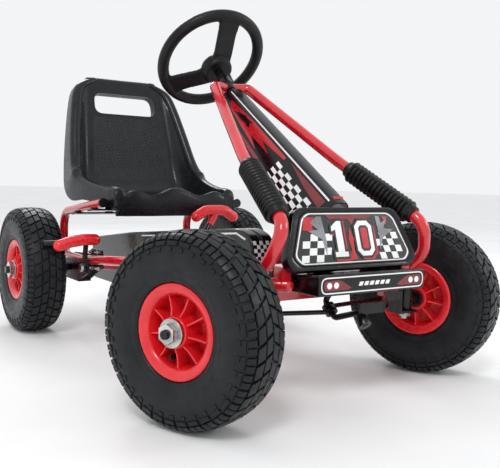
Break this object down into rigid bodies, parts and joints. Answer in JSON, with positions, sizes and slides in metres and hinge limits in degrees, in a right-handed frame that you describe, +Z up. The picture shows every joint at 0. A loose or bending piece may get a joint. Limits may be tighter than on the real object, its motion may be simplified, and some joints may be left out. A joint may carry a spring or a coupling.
{
  "type": "pedal go kart",
  "caption": "Pedal go kart with a bent tube frame, steering wheel on a sloping column, bucket seat, chain guard, hand brake and knobbly tyres on ribbed rims.",
  "frame": {"origin": "centre of the overall footprint, on the floor under the tyres", "axes": "-Y is the way the kart drives, +X is the driver's left, +Z is up"},
  "size_m": [0.6476, 0.9594, 0.6328],
  "materials": {
    "red_tube": "gloss",
    "red_moulding": "gloss",
    "black_metal": "satin",
    "black_moulding": "gloss",
    "black_grip": "matte",
    "black_rubber": "matte",
    "tyre_rubber": "matte",
    "zinc": "satin",
    "dark_steel": "satin",
    "bush_plastic": "matte",
    "plate_print": "gloss"
  },
  "bodies": {
    "chassis": {"upper_tube_left": "red_tube", "upper_tube_right": "red_tube", "side_rail_left": "red_tube", "side_rail_right": "red_tube", "bellows_left": "black_rubber", "bellows_right": "black_rubber", "tube_end_plugs": "black_grip", "front_beam": "red_tube", "axle_yoke_left": "black_metal", "axle_yoke_right": "black_metal", "kingpins": "zinc", "head_tube": "red_tube", "frame_bushes": "bush_plastic", "column_lower_bracket": "black_metal", "centre_tube": "red_tube", "rear_cross_tube": "red_tube", "rear_axle_bracket_left": "black_metal", "rear_axle_bracket_right": "black_metal", "frame_bolts": "zinc", "column_fairing": "black_moulding", "number_panel": "black_moulding", "number_plate": "plate_print", "bumper": "black_moulding", "front_bracket": "red_tube", "chain_guard_outer": "black_moulding", "chain_guard_inner": "black_moulding", "drive_chain": "dark_steel", "seat_shell": "black_moulding", "seat_brackets": "black_metal"},
    "steering": {"steering_column": "black_metal", "steering_wheel": "black_grip", "steering_wheel_cap": "black_moulding"},
    "knuckle_left": {"steering_knuckle_left": "black_metal", "hub_nut_front_left": "zinc"},
    "knuckle_right": {"steering_knuckle_right": "black_metal", "hub_nut_front_right": "zinc"},
    "tie_rod_left": {"tie_rod_left": "zinc"},
    "tie_rod_right": {"tie_rod_right": "zinc"},
    "front_wheel_left": {"rim_front_left": "red_moulding", "tyre_front_left": "tyre_rubber", "wheel_bushes_left": "bush_plastic"},
    "front_wheel_right": {"rim_front_right": "red_moulding", "tyre_front_right": "tyre_rubber", "wheel_bushes_right": "bush_plastic"},
    "rear_axle": {"rear_axle": "black_metal", "rim_rear_left": "red_moulding", "rim_rear_right": "red_moulding", "tyre_rear_left": "tyre_rubber", "tyre_rear_right": "tyre_rubber", "rear_hub_nuts": "zinc", "rear_sprocket": "dark_steel"},
    "crank": {"pedal_crank": "dark_steel", "front_sprocket": "dark_steel"},
    "pedal_left": {"pedal_left": "black_grip"},
    "pedal_right": {"pedal_right": "black_grip"},
    "brake": {"brake_lever": "black_metal", "brake_grip": "red_moulding"},
    "drive": {"drive_lever": "black_metal", "drive_lever_grip": "red_moulding"}
  },
  "joints": [
    {"name": "steering_turn", "type": "hinge", "parent": "chassis", "child": "steering", "pos_m": [0, 0.0314, 0.5531], "axis": [0, 0.7181, 0.6959], "range_deg": [-45, 3]},
    {"name": "knuckle_left_turn", "type": "hinge", "parent": "chassis", "child": "knuckle_left", "pos_m": [0.175, -0.3203, 0.138], "axis": [0, 0, 1], "range_deg": [-45, 3]},
    {"name": "tie_rod_left_turn", "type": "hinge", "parent": "knuckle_left", "child": "tie_rod_left", "pos_m": [0.1621, -0.28669, 0.131], "axis": [0, 0, 1], "range_deg": [-3, 45]},
    {"name": "front_wheel_left_spin", "type": "hinge", "parent": "knuckle_left", "child": "front_wheel_left", "pos_m": [0.24502, -0.29342, 0.1294], "axis": [0.9336, 0.3584, 0], "continuous": true},
    {"name": "knuckle_right_turn", "type": "hinge", "parent": "chassis", "child": "knuckle_right", "pos_m": [-0.175, -0.3203, 0.138], "axis": [0, 0, 1], "range_deg": [-45, 3]},
    {"name": "tie_rod_right_turn", "type": "hinge", "parent": "knuckle_right", "child": "tie_rod_right", "pos_m": [-0.1879, -0.28669, 0.131], "axis": [0, 0, 1], "range_deg": [-3, 45]},
    {"name": "front_wheel_right_spin", "type": "hinge", "parent": "knuckle_right", "child": "front_wheel_right", "pos_m": [-0.24502, -0.34718, 0.1294], "axis": [0.9336, 0.3584, 0], "continuous": true},
    {"name": "rear_axle_spin", "type": "hinge", "parent": "chassis", "child": "rear_axle", "pos_m": [0, 0.3497, 0.1294], "axis": [1, 0, 0], "continuous": true},
    {"name": "crank_spin", "type": "hinge", "parent": "chassis", "child": "crank", "pos_m": [0, -0.1753, 0.196], "axis": [1, 0, 0], "continuous": true},
    {"name": "pedal_left_spin", "type": "hinge", "parent": "crank", "child": "pedal_left", "pos_m": [0.11, -0.24493, 0.24475], "axis": [1, 0, 0], "continuous": true},
    {"name": "pedal_right_spin", "type": "hinge", "parent": "crank", "child": "pedal_right", "pos_m": [-0.11, -0.10567, 0.14725], "axis": [1, 0, 0], "continuous": true},
    {"name": "brake_turn", "type": "hinge", "parent": "chassis", "child": "brake", "pos_m": [-0.1733, 0.2367, 0.14], "axis": [1, 0, 0], "range_deg": [-4, 12]},
    {"name": "drive_lever_turn", "type": "hinge", "parent": "chassis", "child": "drive", "pos_m": [0.037, 0.1247, 0.163], "axis": [1, 0, 0], "range_deg": [-12, 12]}
  ],
  "couplings": [
    {"joint": "knuckle_left_turn", "follows": "steering_turn", "ratio": 1},
    {"joint": "tie_rod_left_turn", "follows": "steering_turn", "ratio": -1},
    {"joint": "knuckle_right_turn", "follows": "steering_turn", "ratio": 1},
    {"joint": "tie_rod_right_turn", "follows": "steering_turn", "ratio": -1},
    {"joint": "crank_spin", "follows": "rear_axle_spin", "ratio": 0.77778}
  ]
}
